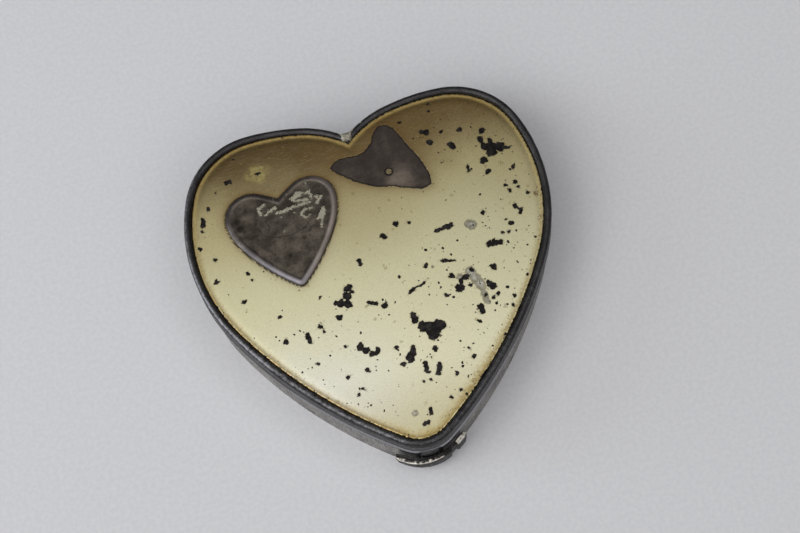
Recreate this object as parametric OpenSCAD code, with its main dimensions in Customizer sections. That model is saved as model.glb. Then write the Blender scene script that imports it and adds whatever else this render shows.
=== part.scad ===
// Heart-shaped hinged trinket box: a soldered strip-metal tray with a slip-over lid.
// Seen from above the point of the heart faces -Y and the cleft and hinges face +Y.

/* [Heart outline] */
// Radius of the rounded point at the front
tip_r = 7; // [6:0.5:8]
// Radius of the long flank beside the point
flank_r = 97; // [92:1:102]
// Radius where the flank turns up into the lobe
hip_r = 37; // [35:1:39]
// Radius of the outer shoulder of the lobe
shoulder_r = 15; // [14:0.5:16]
// Radius of the nearly flat back of the lobe
back_r = 40; // [38:1:42]
// Radius of the slope that runs down into the cleft
cleft_r = 21; // [20:0.5:22]

/* [Base] */
// Thickness of the floor plate
floor_t = 0.8; // [0.6:0.1:1.2]
// Thickness of the wall strip
wall_t = 0.8; // [0.6:0.1:0.9]
// Height of the top edge of the wall, which stands up inside the lid
wall_top = 12.2; // [12:0.1:12.2]
// Width of the two small notches in the lower edge of the wall
notch_w = 1.6; // [1:0.1:2.4]

/* [Lid] */
// Height of the lower edge of the skirt above the ground
skirt_bottom = 10.4; // [10.3:0.1:10.6]
// Width of the beaded rim seen from above
bead_w = 1.6; // [1.6:0.05:1.7]
// Height of the top of the bead
bead_top = 15.2; // [15:0.1:15.6]
// Thickness of the domed panel
panel_t = 0.7; // [0.5:0.1:0.8]
// Height of the middle of the dome
dome_top = 15.9; // [15.7:0.1:16.2]
// Radius of the dome
dome_r = 560; // [500:20:900]

/* [Badge] */
// Height of the raised heart above the dome
badge_h = 1; // [0.6:0.1:1.4]
// Place of the point of the raised heart, right of the middle of the lid
badge_x = -16.3; // [-17.5:0.1:-16]
// Place of the point of the raised heart, behind the point of the lid
badge_y = 37.7; // [37:0.1:39]
// Lean of the raised heart
badge_lean = 2; // [0:1:5]

/* [Hinges] */
// Distance of each hinge from the middle of the lid
hinge_x = 17.5; // [16.5:0.5:18.5]
// Length of each hinge
hinge_len = 10; // [9:1:14]
// Radius of the hinge pins
pin_r = 0.45; // [0.4:0.05:0.5]
// Outer radius of the knuckles
knuckle_r = 1.1; // [1:0.05:1.2]

/* [Catch] */
// Radius of the two guide studs
stud_r = 0.45; // [0.4:0.05:0.5]
// Distance of each guide stud from the middle
stud_x = 2.4; // [2:0.1:2.6]
// How far the thumb lip stands out beyond the panel's edge line
lip_out = 2.2; // [2.1:0.1:2.4]

/* [Linings] */
// Thickness of the pad on the floor
pad_t = 1.6; // [1:0.1:2]
// Thickness of the pad in the lid
lid_pad_t = 1.2; // [0.8:0.1:1.3]

/* [Hidden] */

curve_fn = 180;
round_fn = 48;
far = 60;
side_depth = 0.5;
run_on = 0.8;
hair = 0.1;

// Half outlines from the point round to the cleft, as tangent arcs of [radius, angle turned].
// The last arc runs on past the centre line, where the half is cut and mirrored.
outline = [[tip_r, 36], [flank_r, 24.5], [hip_r, 49], [shoulder_r, 67.5], [back_r, 16.5], [cleft_r, 44]];
badge_outline = [[1.4, 41], [42, 20], [13.5, 27], [5.4, 121], [40, 14]];

// Distances outward from the edge line of the lid's panel
wall_out = 0.55;
wall_in = wall_out - wall_t;
skirt_in = 0.85;
skirt_out = 1.45;
lip_in = 1.25;
strap_out = 1.7;
panel_out = -0.05;
ledge_in = -1;
pad_out = -0.9;
lining_in = wall_in - 0.5;

// Heights
bead_bottom = bead_top - bead_w;
ledge_bottom = 13;
ledge_top = 13.5;
backing_bottom = 12.5;
axis_z = 8.5;
stud_z = 5;
stud_inner_end = 3;
stud_length = 6;
lip_bottom = 2.4;
lip_top = 6.8;
notch_h = 0.7;

// Distances along the box, from the point of the panel's edge line to the back of its lobes
heart_len = arc_centre(outline, 4, 0)[1] + back_r;
hinge_gap = 0.3;
hinge_out = bead_w + hinge_gap + 2 * knuckle_r;
tip_y = (lip_out - heart_len - hinge_out) / 2;
back_y = tip_y + heart_len;
axis_y = back_y + hinge_out - knuckle_r;
dome_y = 2;

pin_play = 0.05;
knuckle_gap = 0.12;
lid_knuckle = hinge_len / 2 - knuckle_gap;
pin_length = hinge_len + 0.6;
stand_off = 0.2;
rivet_r = 0.6;
badge_rivets_at = [for (behind_tip = [7.6, 16.6]) [badge_x, tip_y + badge_y + behind_tip]];
lost_rivet_at = [6.6, tip_y + 57.7];

function heading(arcs, i) = i == 0 ? 0 : heading(arcs, i - 1) + arcs[i - 1][1];
function outward(a) = [sin(a), -cos(a)];
function arc_start(arcs, i, tip) = i == 0 ? [0, tip] : arc_centre(arcs, i - 1, tip)
    + arcs[i - 1][0] * outward(heading(arcs, i));
function arc_centre(arcs, i, tip) = arc_start(arcs, i, tip) - arcs[i][0] * outward(heading(arcs, i));
// Where arc i begins when the whole outline is moved outward by d; after the last arc, where it ends
function joint(arcs, i, tip, d) = let (k = min(i, len(arcs) - 1))
    arc_centre(arcs, k, tip) + (arcs[k][0] + d) * outward(heading(arcs, i));

// The part of a circle beyond the chord from a to b, and on past each end of the chord
module round_side(centre, r, a, b, past_a, past_b) {
    chord = norm(b - a);
    intersection() {
        translate(centre) circle(r, $fn = curve_fn * 2);
        translate(a) rotate(atan2(b[1] - a[1], b[0] - a[0])) translate([-past_a, -chord / 2])
            square([past_a + chord + past_b, chord / 2 + side_depth]);
    }
}

// Right half of a heart, moved outward by d. Arcs that meet in line would only touch, so each
// stands proud by a hair, the tighter one more, and the tighter one runs on past the joint.
module half_heart(arcs, tip, d) {
    last = len(arcs) - 1;
    intersection() {
        translate([0, -far]) square([far, 2 * far]);
        union() {
            polygon([for (i = [0 : last + 1]) joint(arcs, i, tip, d - side_depth / 2)]);
            for (i = [0 : last]) {
                r = arcs[i][0];
                past_start = i == 0 || r < arcs[max(i - 1, 0)][0] ? run_on : 0;
                past_end = i == last || r < arcs[min(i + 1, last)][0] ? run_on : 0;
                round_side(arc_centre(arcs, i, tip), r + d + hair / r,
                    joint(arcs, i, tip, d), joint(arcs, i + 1, tip, d), past_start, past_end);
            }
        }
    }
}

module heart(arcs, tip, d) {
    half_heart(arcs, tip, d);
    mirror([1, 0]) half_heart(arcs, tip, d);
}

// Flat plate with the lid's outline moved outward by d
module plate(d, z, t) {
    translate([0, 0, z]) linear_extrude(t) heart(outline, tip_y, d);
}

// Strip that follows the lid's outline, between two distances outward
module ring(inner, outer, z, h) {
    difference() {
        plate(outer, z, h);
        plate(inner, z - 1, h + 2);
    }
}

// Carries a section, drawn as [distance outward, height], along the arcs of a half outline
module sweep_half(arcs) {
    for (i = [0 : len(arcs) - 1])
        translate(arc_centre(arcs, i, tip_y)) rotate(heading(arcs, i) - 90)
            rotate_extrude(angle = arcs[i][1], $fn = curve_fn) translate([arcs[i][0], 0]) children();
}

// Solid under the dome surface, whose middle is at height top; shallow cones make up the curve
module dome(top) {
    cone_w = 8;
    cones = 6;
    drop = function (r) r * r / (2 * dome_r);
    translate([0, dome_y, 0]) rotate_extrude($fn = curve_fn) polygon(concat(
        [[0, axis_z], [cones * cone_w, axis_z]],
        [for (i = [cones : -1 : 1]) [i * cone_w, top - drop(i * cone_w)]],
        [[0, top - drop(cone_w)]]));
}

module across(x, y, z, r, length) {
    translate([x - length / 2, y, z]) rotate([0, 90, 0]) cylinder(r = r, h = length, $fn = round_fn);
}

module base_floor() {
    color("dimgray") plate(wall_out, 0, floor_t);
}

// The wall strip, notched at its lower edge and drilled for the guide studs
module base_wall() {
    notch_x = 21;
    notch_y = tip_y + 16.5;
    notch_turn = 49;
    color("gray") difference() {
        ring(wall_in, wall_out, floor_t, wall_top - floor_t);
        for (side = [-1, 1]) {
            translate([side * notch_x, notch_y, floor_t]) rotate(side * notch_turn)
                cube([notch_w, 5 * wall_t, 2 * notch_h], center = true);
            stud(side, stud_r + pin_play, stud_inner_end, stud_length);
        }
    }
}

module floor_lining() {
    color("maroon") plate(pad_out, floor_t, pad_t);
}

// Velvet strip round the inside of the wall, open at the point where the catch works
module wall_lining() {
    clear_x = 6;
    lining_h = 8;
    color("maroon") difference() {
        ring(lining_in, wall_in, floor_t + pad_t, lining_h);
        translate([-clear_x, tip_y - 1, 0]) cube([2 * clear_x, 2 * clear_x, far]);
    }
}

// Leaf with a knuckle at each end, soldered to the back of the wall
module base_hinge(x) {
    end_len = (hinge_len - lid_knuckle) / 2 - knuckle_gap;
    leaf_t = 0.7;
    leaf_bottom = 4.5;
    leaf_top = axis_z - knuckle_r - stand_off;
    strip_t = 1.2;
    into_wall = 2;
    color("dimgray") difference() {
        union() {
            translate([x - hinge_len / 2, back_y - into_wall, leaf_bottom])
                cube([hinge_len, into_wall + wall_out + leaf_t, leaf_top - leaf_bottom]);
            for (side = [-1, 1]) {
                knuckle_x = x + side * (hinge_len - end_len) / 2;
                across(knuckle_x, axis_y, axis_z, knuckle_r, end_len);
                translate([knuckle_x - end_len / 2, back_y - into_wall, leaf_top - stand_off])
                    cube([end_len, into_wall + axis_y - back_y, strip_t]);
            }
        }
        plate(wall_out, 0, far);
        across(x, axis_y, axis_z, pin_r + 0.01, far);
    }
}

module base_hinge_left() { base_hinge(-hinge_x); }
module base_hinge_right() { base_hinge(hinge_x); }

// Single knuckle in the middle, with a leaf soldered to the back of the skirt
module lid_hinge(x) {
    leaf_t = 0.8;
    leaf_top = 12.6;
    color("dimgray") difference() {
        union() {
            across(x, axis_y, axis_z, knuckle_r, lid_knuckle);
            translate([x - lid_knuckle / 2, back_y, axis_z])
                cube([lid_knuckle, axis_y - back_y, knuckle_r]);
            translate([x - lid_knuckle / 2, back_y, axis_z])
                cube([lid_knuckle, skirt_out + leaf_t, leaf_top - axis_z]);
        }
        plate(skirt_out, skirt_bottom - 0.1, far);
        plate(skirt_out + 0.1, 0, skirt_bottom);
        across(x, axis_y, axis_z, pin_r + pin_play, far);
    }
}

module lid_hinge_left() { lid_hinge(-hinge_x); }
module lid_hinge_right() { lid_hinge(hinge_x); }

module hinge_pin_left() { color("silver") across(-hinge_x, axis_y, axis_z, pin_r, pin_length); }
module hinge_pin_right() { color("silver") across(hinge_x, axis_y, axis_z, pin_r, pin_length); }

// Round bar across the wall at the point, from its inner end forward
module stud(side, r, inner_end, length) {
    translate([side * stud_x, tip_y + inner_end, stud_z]) rotate([90, 0, 0])
        cylinder(r = r, h = length, $fn = round_fn);
}

// Flat leaf behind the point of the wall, which the stud heads are drawn back against
module catch_spring() {
    half_len = 3.3;
    leaf_t = 0.25;
    leaf_h = 3;
    leaf_y = 1.15;
    hole_play = 0.2;
    color("silver") difference() {
        translate([-half_len, tip_y + leaf_y, stud_z - leaf_h / 2]) cube([2 * half_len, leaf_t, leaf_h]);
        for (side = [-1, 1]) stud(side, stud_r + hole_play, stud_inner_end, stud_length);
    }
}

// Strap round the point, with a long lip on the left and a short ear on the right
module thumb_lip() {
    lip_mid = 4.6;
    flank_turn_left = 1.3;
    flank_turn_right = 2.1;
    gap_start = 28;
    ear_start = 5;
    module strap_section() {
        translate([lip_in, lip_bottom]) square([strap_out - lip_in, lip_top - lip_bottom]);
    }
    module lip_section() {
        polygon([[lip_in, lip_bottom], [lip_out, lip_bottom], [lip_out, lip_mid],
            [strap_out, lip_top - 1], [strap_out - 0.1, lip_top], [lip_in, lip_top]]);
    }
    color("dimgray") {
        sweep_half([[tip_r, gap_start]]) lip_section();
        sweep_half([outline[0], [flank_r, flank_turn_right]]) strap_section();
        intersection() {
            sweep_half([outline[0], [flank_r, flank_turn_right]]) lip_section();
            translate([ear_start, -far, 0]) cube(far);
        }
        mirror([1, 0, 0]) sweep_half([outline[0], [flank_r, flank_turn_left]]) lip_section();
    }
}

// Two headed studs that guide the lip through the wall
module catch_studs() {
    head_t = 0.5;
    head_y = 1.95;
    into_lip = 0.1;
    color("silver") for (side = [-1, 1]) {
        stud(side, stud_r, head_y, head_y + lip_in + into_lip);
        stud(side, 2 * stud_r, head_y + head_t, head_t);
    }
}

// Skirt, bead and the inner ledge that carries the panel; the bead's round top is three steps
module lid_rim() {
    step_in = [0, 0.12, 0.35];
    step_z = [bead_bottom, bead_top - 0.65, bead_top - 0.25, bead_top];
    color("gray") {
        ring(skirt_in, skirt_out, skirt_bottom, bead_bottom - skirt_bottom);
        ring(ledge_in, skirt_in, ledge_bottom, ledge_top - ledge_bottom);
        for (i = [0 : 2]) ring(step_in[i], bead_w - step_in[i], step_z[i], step_z[i + 1] - step_z[i]);
    }
}

module rivet_holes(r) {
    for (at = concat(badge_rivets_at, [lost_rivet_at]))
        translate([at[0], at[1], 0]) cylinder(r = r, h = far, $fn = round_fn);
}

// Domed gilt panel set inside the bead
module lid_panel() {
    color("darkkhaki") difference() {
        intersection() {
            plate(panel_out, ledge_top, far);
            dome(dome_top);
        }
        dome(dome_top - panel_t);
        rivet_holes(rivet_r);
    }
}

// Solder that fills the notch where the two ends of the strip meet
module cleft_solder() {
    cleft_y = tip_y + 68;
    fill_r = 0.9;
    fill_bottom = 10.6;
    fill_top = 14.8;
    color("silver") difference() {
        translate([0, cleft_y, fill_bottom]) cylinder(r = fill_r, h = fill_top - fill_bottom, $fn = round_fn);
        plate(bead_w, 0, far);
    }
}

// Raised heart riveted to the panel, its foot shaped to the dome
module heart_badge() {
    bevel = 0.45;
    color("dimgray") difference() {
        for (step = [0, 1]) intersection() {
            translate([badge_x, badge_y + tip_y, 0]) rotate(badge_lean)
                linear_extrude(far) heart(badge_outline, 0, -bevel * step);
            dome(dome_top + badge_h * (1 + step) / 2);
        }
        dome(dome_top);
    }
}

module rivet(at, rise) {
    foot_r = 1.1;
    foot_t = 0.5;
    foot_bottom = 13.3;
    intersection() {
        translate([at[0], at[1], foot_bottom]) cylinder(r = rivet_r, h = far, $fn = round_fn);
        dome(dome_top + rise);
    }
    translate([at[0], at[1], foot_bottom]) cylinder(r = foot_r, h = foot_t, $fn = round_fn);
}

module badge_rivets() {
    color("goldenrod") for (at = badge_rivets_at) rivet(at, 0);
}

// Rivet left in the bare patch where a second ornament came off
module lost_badge_rivet() {
    color("goldenrod") rivet(lost_rivet_at, 0.15);
}

// Thin plate that closes the underside of the lid
module lid_backing() {
    color("silver") plate(wall_out, backing_bottom, ledge_bottom - backing_bottom);
}

module lid_lining() {
    color("maroon") plate(pad_out, backing_bottom - lid_pad_t, lid_pad_t);
}

// Tongue that hangs from the skirt at the point and tucks in behind the thumb lip
module lid_keeper() {
    keeper_t = 0.25;
    keeper_bottom = 5.6;
    half_turn = 13;
    color("gray") for (side = [0, 1]) mirror([side, 0, 0]) sweep_half([[tip_r, half_turn]])
        translate([skirt_in, keeper_bottom]) square([keeper_t, skirt_bottom - keeper_bottom]);
}

base_floor();
base_wall();
floor_lining();
wall_lining();
base_hinge_left();
base_hinge_right();
hinge_pin_left();
hinge_pin_right();
catch_spring();
thumb_lip();
catch_studs();
lid_rim();
lid_panel();
cleft_solder();
heart_badge();
badge_rivets();
lost_badge_rivet();
lid_backing();
lid_lining();
lid_keeper();
lid_hinge_left();
lid_hinge_right();
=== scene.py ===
# Heart-shaped hinged trinket box. Lengths below are in millimetres and become metres in mesh().
# x, y and z are the frame's: x to the right, y to the back, z up from the table.
from math import cos, pi, radians, sin

import bmesh
import bpy
import numpy as np
from mathutils import Matrix, Vector, noise
from mathutils.geometry import delaunay_2d_cdt


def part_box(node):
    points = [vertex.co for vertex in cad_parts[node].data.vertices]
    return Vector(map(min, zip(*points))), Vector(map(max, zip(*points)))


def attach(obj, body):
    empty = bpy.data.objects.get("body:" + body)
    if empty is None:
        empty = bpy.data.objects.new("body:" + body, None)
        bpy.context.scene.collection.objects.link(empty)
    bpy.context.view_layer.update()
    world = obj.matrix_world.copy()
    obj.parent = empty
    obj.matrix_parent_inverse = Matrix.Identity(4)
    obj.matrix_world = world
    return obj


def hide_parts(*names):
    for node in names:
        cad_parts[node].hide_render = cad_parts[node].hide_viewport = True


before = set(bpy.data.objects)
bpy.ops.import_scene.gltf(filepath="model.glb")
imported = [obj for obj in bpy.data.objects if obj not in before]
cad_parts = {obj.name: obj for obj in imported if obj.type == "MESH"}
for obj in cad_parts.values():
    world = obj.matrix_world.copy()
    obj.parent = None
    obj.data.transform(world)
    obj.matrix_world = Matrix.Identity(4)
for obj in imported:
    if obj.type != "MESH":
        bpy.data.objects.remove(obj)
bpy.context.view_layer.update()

MM = 0.001
BEAD_W = 1.6  # how far the rim's bead stands outside the heart's outline
TIP_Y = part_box("lid_rim")[0].y / MM + BEAD_W
MID_Y = TIP_Y + 36.7  # places on the lid are measured from here
DOME_TOP, DOME_R, DOME_Y = 15.9, 560.0, 2.0
DOME_RISE = 1.2  # how much higher the dome's middle stands than its edge
DOME_SHIFT = 0.42  # how far forward a mark moves for each millimetre that the dome rises under it
# each half of a heart, as (radius, degrees) of its arcs from the point to the cleft
LID_ARCS = [(7, 36), (97, 24.5), (37, 49), (15, 67.5), (40, 16.5), (21, 44)]
BADGE_ARCS = [(1.4, 41), (42, 20), (13.5, 27), (5.4, 121), (40, 14)]
BADGE_AT, BADGE_LEAN = (-16.3, TIP_Y + 37.7), radians(2)


# ---------------------------------------------------------------- shapes

class Heart:
    """Closed heart of tangent arcs (radius, degrees), from the point round by the right lobe."""

    def __init__(self, arcs, tip_y, step):
        x, y, a = 0.0, tip_y, 0.0
        rows = []
        for k, (r, turn) in enumerate(arcs):
            turn = radians(turn)
            cx, cy = x - r * sin(a), y + r * cos(a)
            last = k == len(arcs) - 1
            n = max(4, round(r * turn / step))
            for i in range(n + (1 if last else 0)):
                rows.append((cx, cy, r, a, turn, i / n, float(last)))
            x, y, a = cx + r * sin(a + turn), cy - r * cos(a + turn), a + turn
        right = np.array(rows)
        left = right[-2:0:-1]
        self.side = np.r_[np.ones(len(right)), -np.ones(len(left))]
        self.rows = np.r_[right, left]
        p = self.loop(0)
        self.s = np.r_[0, np.cumsum(np.hypot(*(p[1:] - p[:-1]).T))]
        self.n = len(p)

    def angle(self, d):
        """Direction of the outline at each point, where the loop offset by d closes in the cleft."""
        cx, _, r, a, turn, f, last = self.rows.T
        reach = np.clip(cx / (r + d), -1, 1)
        end = np.where(last > 0, pi + np.arcsin(reach), a + turn)
        return a + f * (end - a)

    def loop(self, d):
        """The outline's points, offset outward by d."""
        cx, cy, r = self.rows.T[:3]
        a = self.angle(d)
        return np.c_[self.side * (cx + (r + d) * np.sin(a)), cy - (r + d) * np.cos(a)]

    def outward(self):
        """Unit vectors square to the outline at its points."""
        a = self.angle(0)
        return np.c_[self.side * np.sin(a), -np.cos(a)]


def ripple(points, size, seed=0.0):
    """Smooth noise from about -1 to 1 at each point, in the plane or in space."""
    shift = Vector((seed, -seed, 0.0))
    return np.array([noise.noise(Vector(p).to_3d() / size + shift) for p in points]) * 1.6


def heights(node):
    """Lowest and highest level of a CAD node."""
    return [corner.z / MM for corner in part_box(node)]


def smooth(x, a, b):
    """0 up to a, 1 from b on, with a soft slope between."""
    t = np.clip((x - a) / (b - a), 0, 1)
    return t * t * (3 - 2 * t)


def dome(p):
    """Height of the lid's dome at each point."""
    return DOME_TOP - (p[:, 0] ** 2 + (p[:, 1] - DOME_Y) ** 2) / (2 * DOME_R)


def mesh(name, verts, faces, values=None, soft_angle=50):
    """A smooth-shaded object, with one float value per point under each key of values."""
    me = bpy.data.meshes.new(name)
    points = [tuple(v) for v in np.asarray(verts, float) * MM]
    me.from_pydata(points, [], [tuple(int(i) for i in f) for f in faces])
    for key, v in (values or {}).items():
        me.attributes.new(key, "FLOAT", "POINT").data.foreach_set("value", np.asarray(v, np.float32))
    ob = bpy.data.objects.new(name, me)
    bpy.context.scene.collection.objects.link(ob)
    fix_normals(me)
    me.shade_smooth()
    me.set_sharp_from_angle(angle=radians(soft_angle))
    return ob


def fix_normals(me):
    """Turns all faces outward."""
    bm = bmesh.new()
    bm.from_mesh(me)
    bmesh.ops.recalc_face_normals(bm, faces=bm.faces)
    bm.to_mesh(me)
    bm.free()


def band(rings, closed_profile=True, closed_path=True):
    """Quads between rings of points that all have the same count."""
    n = len(rings[0])
    m = len(rings)
    verts = np.vstack(rings)
    faces = []
    for j in range(m if closed_profile else m - 1):
        k = (j + 1) % m
        for i in range(n if closed_path else n - 1):
            h = (i + 1) % n
            faces.append((j * n + i, j * n + h, k * n + h, k * n + i))
    return verts, faces


def strip(rings):
    """A closed profile swept along an open path, with both ends filled."""
    verts, faces = band(rings, closed_path=False)
    n = len(rings[0])
    faces += [tuple(k * n + end for k in range(len(rings))) for end in (0, n - 1)]
    return verts, faces


def edge_distance(points, loop):
    """Distance from each point to a closed loop."""
    best = np.full(len(points), 1e9)
    for a, b in zip(loop, np.roll(loop, -1, 0)):
        ab = b - a
        t = np.clip(((points - a) @ ab) / (ab @ ab), 0, 1)
        best = np.minimum(best, np.hypot(*(points - a - t[:, None] * ab).T))
    return best


def inside(points, loop):
    """Whether each point lies inside a closed loop."""
    within = np.zeros(len(points), bool)
    for a, b in zip(loop, np.roll(loop, -1, 0)):
        if a[1] != b[1]:
            spanned = (a[1] > points[:, 1]) != (b[1] > points[:, 1])
            crossing = (b[0] - a[0]) * (points[:, 1] - a[1]) / (b[1] - a[1]) + a[0]
            within ^= spanned & (points[:, 0] < crossing)
    return within


def fill(loop, step):
    """Triangles inside a closed loop, on a grid of that spacing: points, faces and the loop's indices."""
    low, high = loop.min(0), loop.max(0)
    rows = []
    for j, y in enumerate(np.arange(low[1], high[1], step * 0.87)):
        x = np.arange(low[0] + (j % 2) * step / 2, high[0], step)
        rows.append(np.c_[x, np.full(len(x), y)])
    grid = np.vstack(rows)
    near = np.full(len(grid), 1e9)
    for corner in loop:
        near = np.minimum(near, np.hypot(*(grid - corner).T))
    grid = grid[inside(grid, loop) & (near > step * 0.55)]
    points = [Vector(p) for p in np.vstack([loop, grid])]
    around = list(range(len(loop)))
    co, _, faces, sources, _, _ = delaunay_2d_cdt(points, [], [around], 1, 1e-6)
    where = {s: k for k, source in enumerate(sources) for s in source}
    return np.array([tuple(c) for c in co]), faces, [where[i] for i in around]


def capped(rings, top_fill, top_z):
    """A side of rings, from the lowest out and in over the top, closed by a filled top and a flat bottom."""
    verts, faces = band(rings, closed_profile=False)
    n = len(rings[0])
    last = (len(rings) - 1) * n
    points, triangles, edge = top_fill
    place = {e: last + i for i, e in enumerate(edge)}
    rest = [k for k in range(len(points)) if k not in place]
    place.update({k: len(verts) + i for i, k in enumerate(rest)})
    verts = np.vstack([verts, np.c_[points[rest], top_z(points[rest])]])
    faces += [tuple(place[i] for i in t) for t in triangles]
    faces.append(tuple(range(n)))
    return verts, faces


def spread(rows, count, rest):
    """Values for the points of a capped shape: rows for its rings, and one value for the rest of its top."""
    given = np.concatenate(rows)
    return np.r_[given, np.full(count - len(given), rest)]


def spots(points, marks):
    """How far inside the nearest mark each point is. A mark is (x, y, radius) or (x1, y1, x2, y2, radius)."""
    best = np.full(len(points), -9.0)
    for m in marks:
        a = np.array(m[:2], float)
        b = np.array(m[2:4], float) if len(m) == 5 else a
        ab = b - a
        t = np.clip(((points - a) @ ab) / max(ab @ ab, 1e-9), 0, 1)
        best = np.maximum(best, m[-1] - np.hypot(*(points - a - t[:, None] * ab).T))
    return best


# ---------------------------------------------------------------- materials

def rgb(r, g, b):
    """Colour from 0-255 screen values."""
    f = [c / 255 for c in (r, g, b)]
    return tuple(c / 12.92 if c <= 0.04045 else ((c + 0.055) / 1.055) ** 2.4 for c in f) + (1.0,)


class Mat:
    """A Principled material whose textures are laid out in millimetres on the object."""

    def __init__(self, name, metallic=0.0, roughness=0.5, **constants):
        self.material = bpy.data.materials.new(name)
        self.material.use_nodes = True
        self.tree = self.material.node_tree
        self.shader = self.tree.nodes["Principled BSDF"]
        self.set(Metallic=metallic, Roughness=roughness, **constants)
        co = self.tree.nodes.new("ShaderNodeTexCoord")
        ins = {0: co.outputs["Object"], "Scale": 1 / MM}
        self.mm = self.add("ShaderNodeVectorMath", ins, operation="SCALE")

    def set(self, **sockets):
        for k, v in sockets.items():
            self.put(self.shader.inputs[k.replace("_", " ")], v)

    def put(self, socket, v):
        if isinstance(v, bpy.types.NodeSocket):
            self.tree.links.new(v, socket)
        else:
            socket.default_value = v

    def add(self, kind, ins, out=0, **props):
        n = self.tree.nodes.new(kind)
        for k, v in props.items():
            setattr(n, k, v)
        for k, v in ins.items():
            self.put(n.inputs[k], v)
        return n.outputs[out]

    def attr(self, name):
        return self.add("ShaderNodeAttribute", {}, out="Fac", attribute_name=name)

    def axis(self, which):
        return self.add("ShaderNodeSeparateXYZ", {0: self.mm}, out=which)

    def noise(self, scale=1.0, detail=4.0, rough=0.6, stretch=None, distortion=0.0):
        v = self.mm
        if stretch:
            v = self.add("ShaderNodeVectorMath", {0: v, 1: stretch}, operation="MULTIPLY")
        ins = {"Vector": v, "Scale": scale, "Detail": detail, "Roughness": rough, "Distortion": distortion}
        return self.add("ShaderNodeTexNoise", ins, out="Fac")

    def cells(self, scale):
        """Distance from the middle of the nearest cell."""
        return self.add("ShaderNodeTexVoronoi", {"Vector": self.mm, "Scale": scale}, out="Distance")

    def math(self, op, a, b):
        return self.add("ShaderNodeMath", {0: a, 1: b}, operation=op)

    def plus(self, a, b):
        return self.math("ADD", a, b)

    def minus(self, a, b):
        return self.math("SUBTRACT", a, b)

    def times(self, a, b):
        return self.math("MULTIPLY", a, b)

    def most(self, a, b):
        return self.math("MAXIMUM", a, b)

    def centred(self, v, width):
        """A noise of 0 to 1, moved to lie round 0 and scaled to that width."""
        return self.times(self.minus(v, 0.5), width)

    def range(self, v, a, b, c=0.0, d=1.0):
        """v from a to b turned into c to d, smoothly."""
        ins = {"Value": v, "From Min": a, "From Max": b, "To Min": c, "To Max": d}
        return self.add("ShaderNodeMapRange", ins, interpolation_type="SMOOTHSTEP")

    def specks(self, size, scale, soft, most=1.0):
        """Round spots, one to a cell, as wide as size says."""
        return self.range(self.minus(size, self.cells(scale)), 0.0, soft, 0.0, most)

    def mix(self, f, a, b):
        """Colour a, or b where f is 1."""
        return self.add("ShaderNodeMix", {0: f, 6: a, 7: b}, out=2, data_type="RGBA")

    def blend(self, f, a, b):
        """Number a, or b where f is 1."""
        return self.add("ShaderNodeMix", {0: f, 2: a, 3: b}, data_type="FLOAT")

    def bump(self, height, strength, depth):
        ins = {"Height": height, "Strength": strength, "Distance": depth * MM}
        self.set(Normal=self.add("ShaderNodeBump", ins))


def gilt():
    """Lacquered gilt sheet with a painted reflection, brightest at the front left and dark at the back, and
    everything that has happened to it laid over it in turn.
    """
    m = Mat("gilt_lacquer", Coat_Weight=0.25, Coat_Roughness=0.3, Specular_IOR_Level=0.5)
    fine = m.noise(7.0, 5, 0.7)
    right = m.range(m.axis("X"), -18.0, 8.0)
    ragged = m.centred(m.noise(1.1, 3, 0.5, distortion=0.4), 1.4)
    tone = aged_lacquer(m, sheet_tone(m, fine, right))
    tone, bitten = bright_edge(m, tone, right)
    tone, loss = losses(m, rust(m, tone, fine), ragged, bitten)
    tone, bare = bare_patch(m, tone)
    tone = smears(m, tone, ragged, loss)
    gone = m.most(loss, bare)
    m.set(Base_Color=tone, Metallic=m.blend(loss, m.blend(bare, 0.93, 0.7), 0.85),
          Roughness=m.plus(m.blend(gone, 0.34, 0.5), m.times(fine, 0.08)),
          Coat_Weight=m.blend(gone, 0.25, 0.03))
    m.bump(m.minus(m.times(fine, 0.12), gone), 0.55, 0.06)
    return m.material


def sheet_tone(m, fine, right):
    """Pale gilt that goes brown towards the back, partly amber tarnish and partly a painted reflection,
    mottled, scuffed to bright gold there, and freckled.
    """
    back = m.plus(m.axis("Y"), m.times(m.noise(0.06, 3, 0.5), 14.0))
    # Painted reflection, partly amber tarnish: whitest at the front left, browning towards the back, darkest
    # at the back left, and a little darker at the point.
    tone = m.mix(right, rgb(232, 232, 222), rgb(230, 226, 196))
    tone = m.mix(m.range(back, -26.0, 8.0), tone, rgb(226, 221, 180))
    tone = m.mix(m.range(back, 4.0, 30.0), tone, rgb(208, 194, 142))
    tone = m.mix(m.range(back, 22.0, 40.0), tone, m.mix(right, rgb(112, 89, 50), rgb(138, 112, 66)))
    tone = m.mix(m.range(m.axis("Y"), TIP_Y + 18.0, TIP_Y + 1.0, 0.0, 0.7), tone, rgb(186, 176, 132))
    mottle = m.times(m.range(back, 14.0, 44.0, 0.3, 1.0), m.range(m.noise(3.0, 5, 0.75), 0.42, 0.68))
    tone = m.mix(m.times(mottle, 0.45), tone, rgb(92, 74, 44))
    streaks = m.range(m.noise(1.6, 4, 0.8, stretch=(0.35, 4.0, 1.0)), 0.6, 0.68)
    scuff = m.most(streaks, m.range(m.noise(4.2, 5, 0.8), 0.6, 0.7))
    tone = m.mix(m.times(scuff, m.range(back, 12.0, 34.0, 0.0, 0.68)), tone, rgb(232, 210, 140))
    tone = m.mix(m.range(fine, 0.3, 0.75, 0.0, 0.14), tone, rgb(120, 104, 66))
    grain = m.noise(1.0, 3, 0.6, stretch=(0.5, 6.0, 1.0))
    tone = m.mix(m.range(grain, 0.45, 0.75, 0.0, 0.08), tone, rgb(246, 242, 224))
    size = m.range(m.noise(0.55, 3, 0.6), 0.46, 0.7, 0.0, 0.34)
    return m.mix(m.specks(size, 0.5, 0.16, 0.4), tone, rgb(132, 104, 54))


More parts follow.
